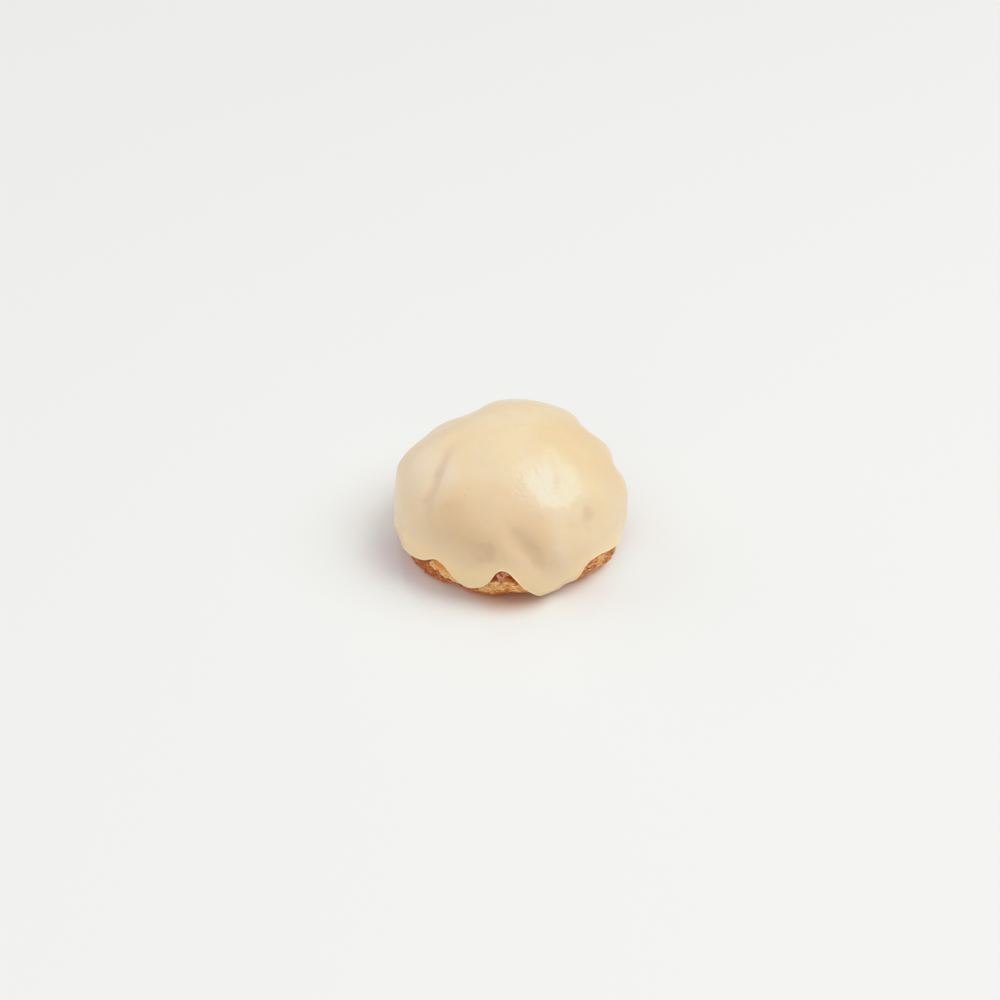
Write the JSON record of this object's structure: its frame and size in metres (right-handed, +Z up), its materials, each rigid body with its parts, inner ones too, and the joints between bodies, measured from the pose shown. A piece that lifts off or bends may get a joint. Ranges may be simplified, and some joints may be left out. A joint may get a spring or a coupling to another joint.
{
  "type": "caramel choux cake",
  "caption": "Round browned choux bun with a flat base under a thin poured coat of pale caramel icing that ends in uneven drips above the bare, crackled foot.",
  "frame": {"origin": "middle of the flat base that the bun rests on, under the bun's axis", "axes": "+Z up; -Y towards the front, the side with the two long drips; +X to the right seen from the front"},
  "size_m": [0.0748, 0.0743, 0.0447],
  "materials": {
    "browned_crust": "baked crust, satin to dull, mottled from golden to dark brown",
    "caramel_icing": "poured icing, soft semi-gloss"
  },
  "bodies": {
    "root": {"choux_bun": "browned_crust", "caramel_icing": "caramel_icing"}
  },
  "joints": []
}
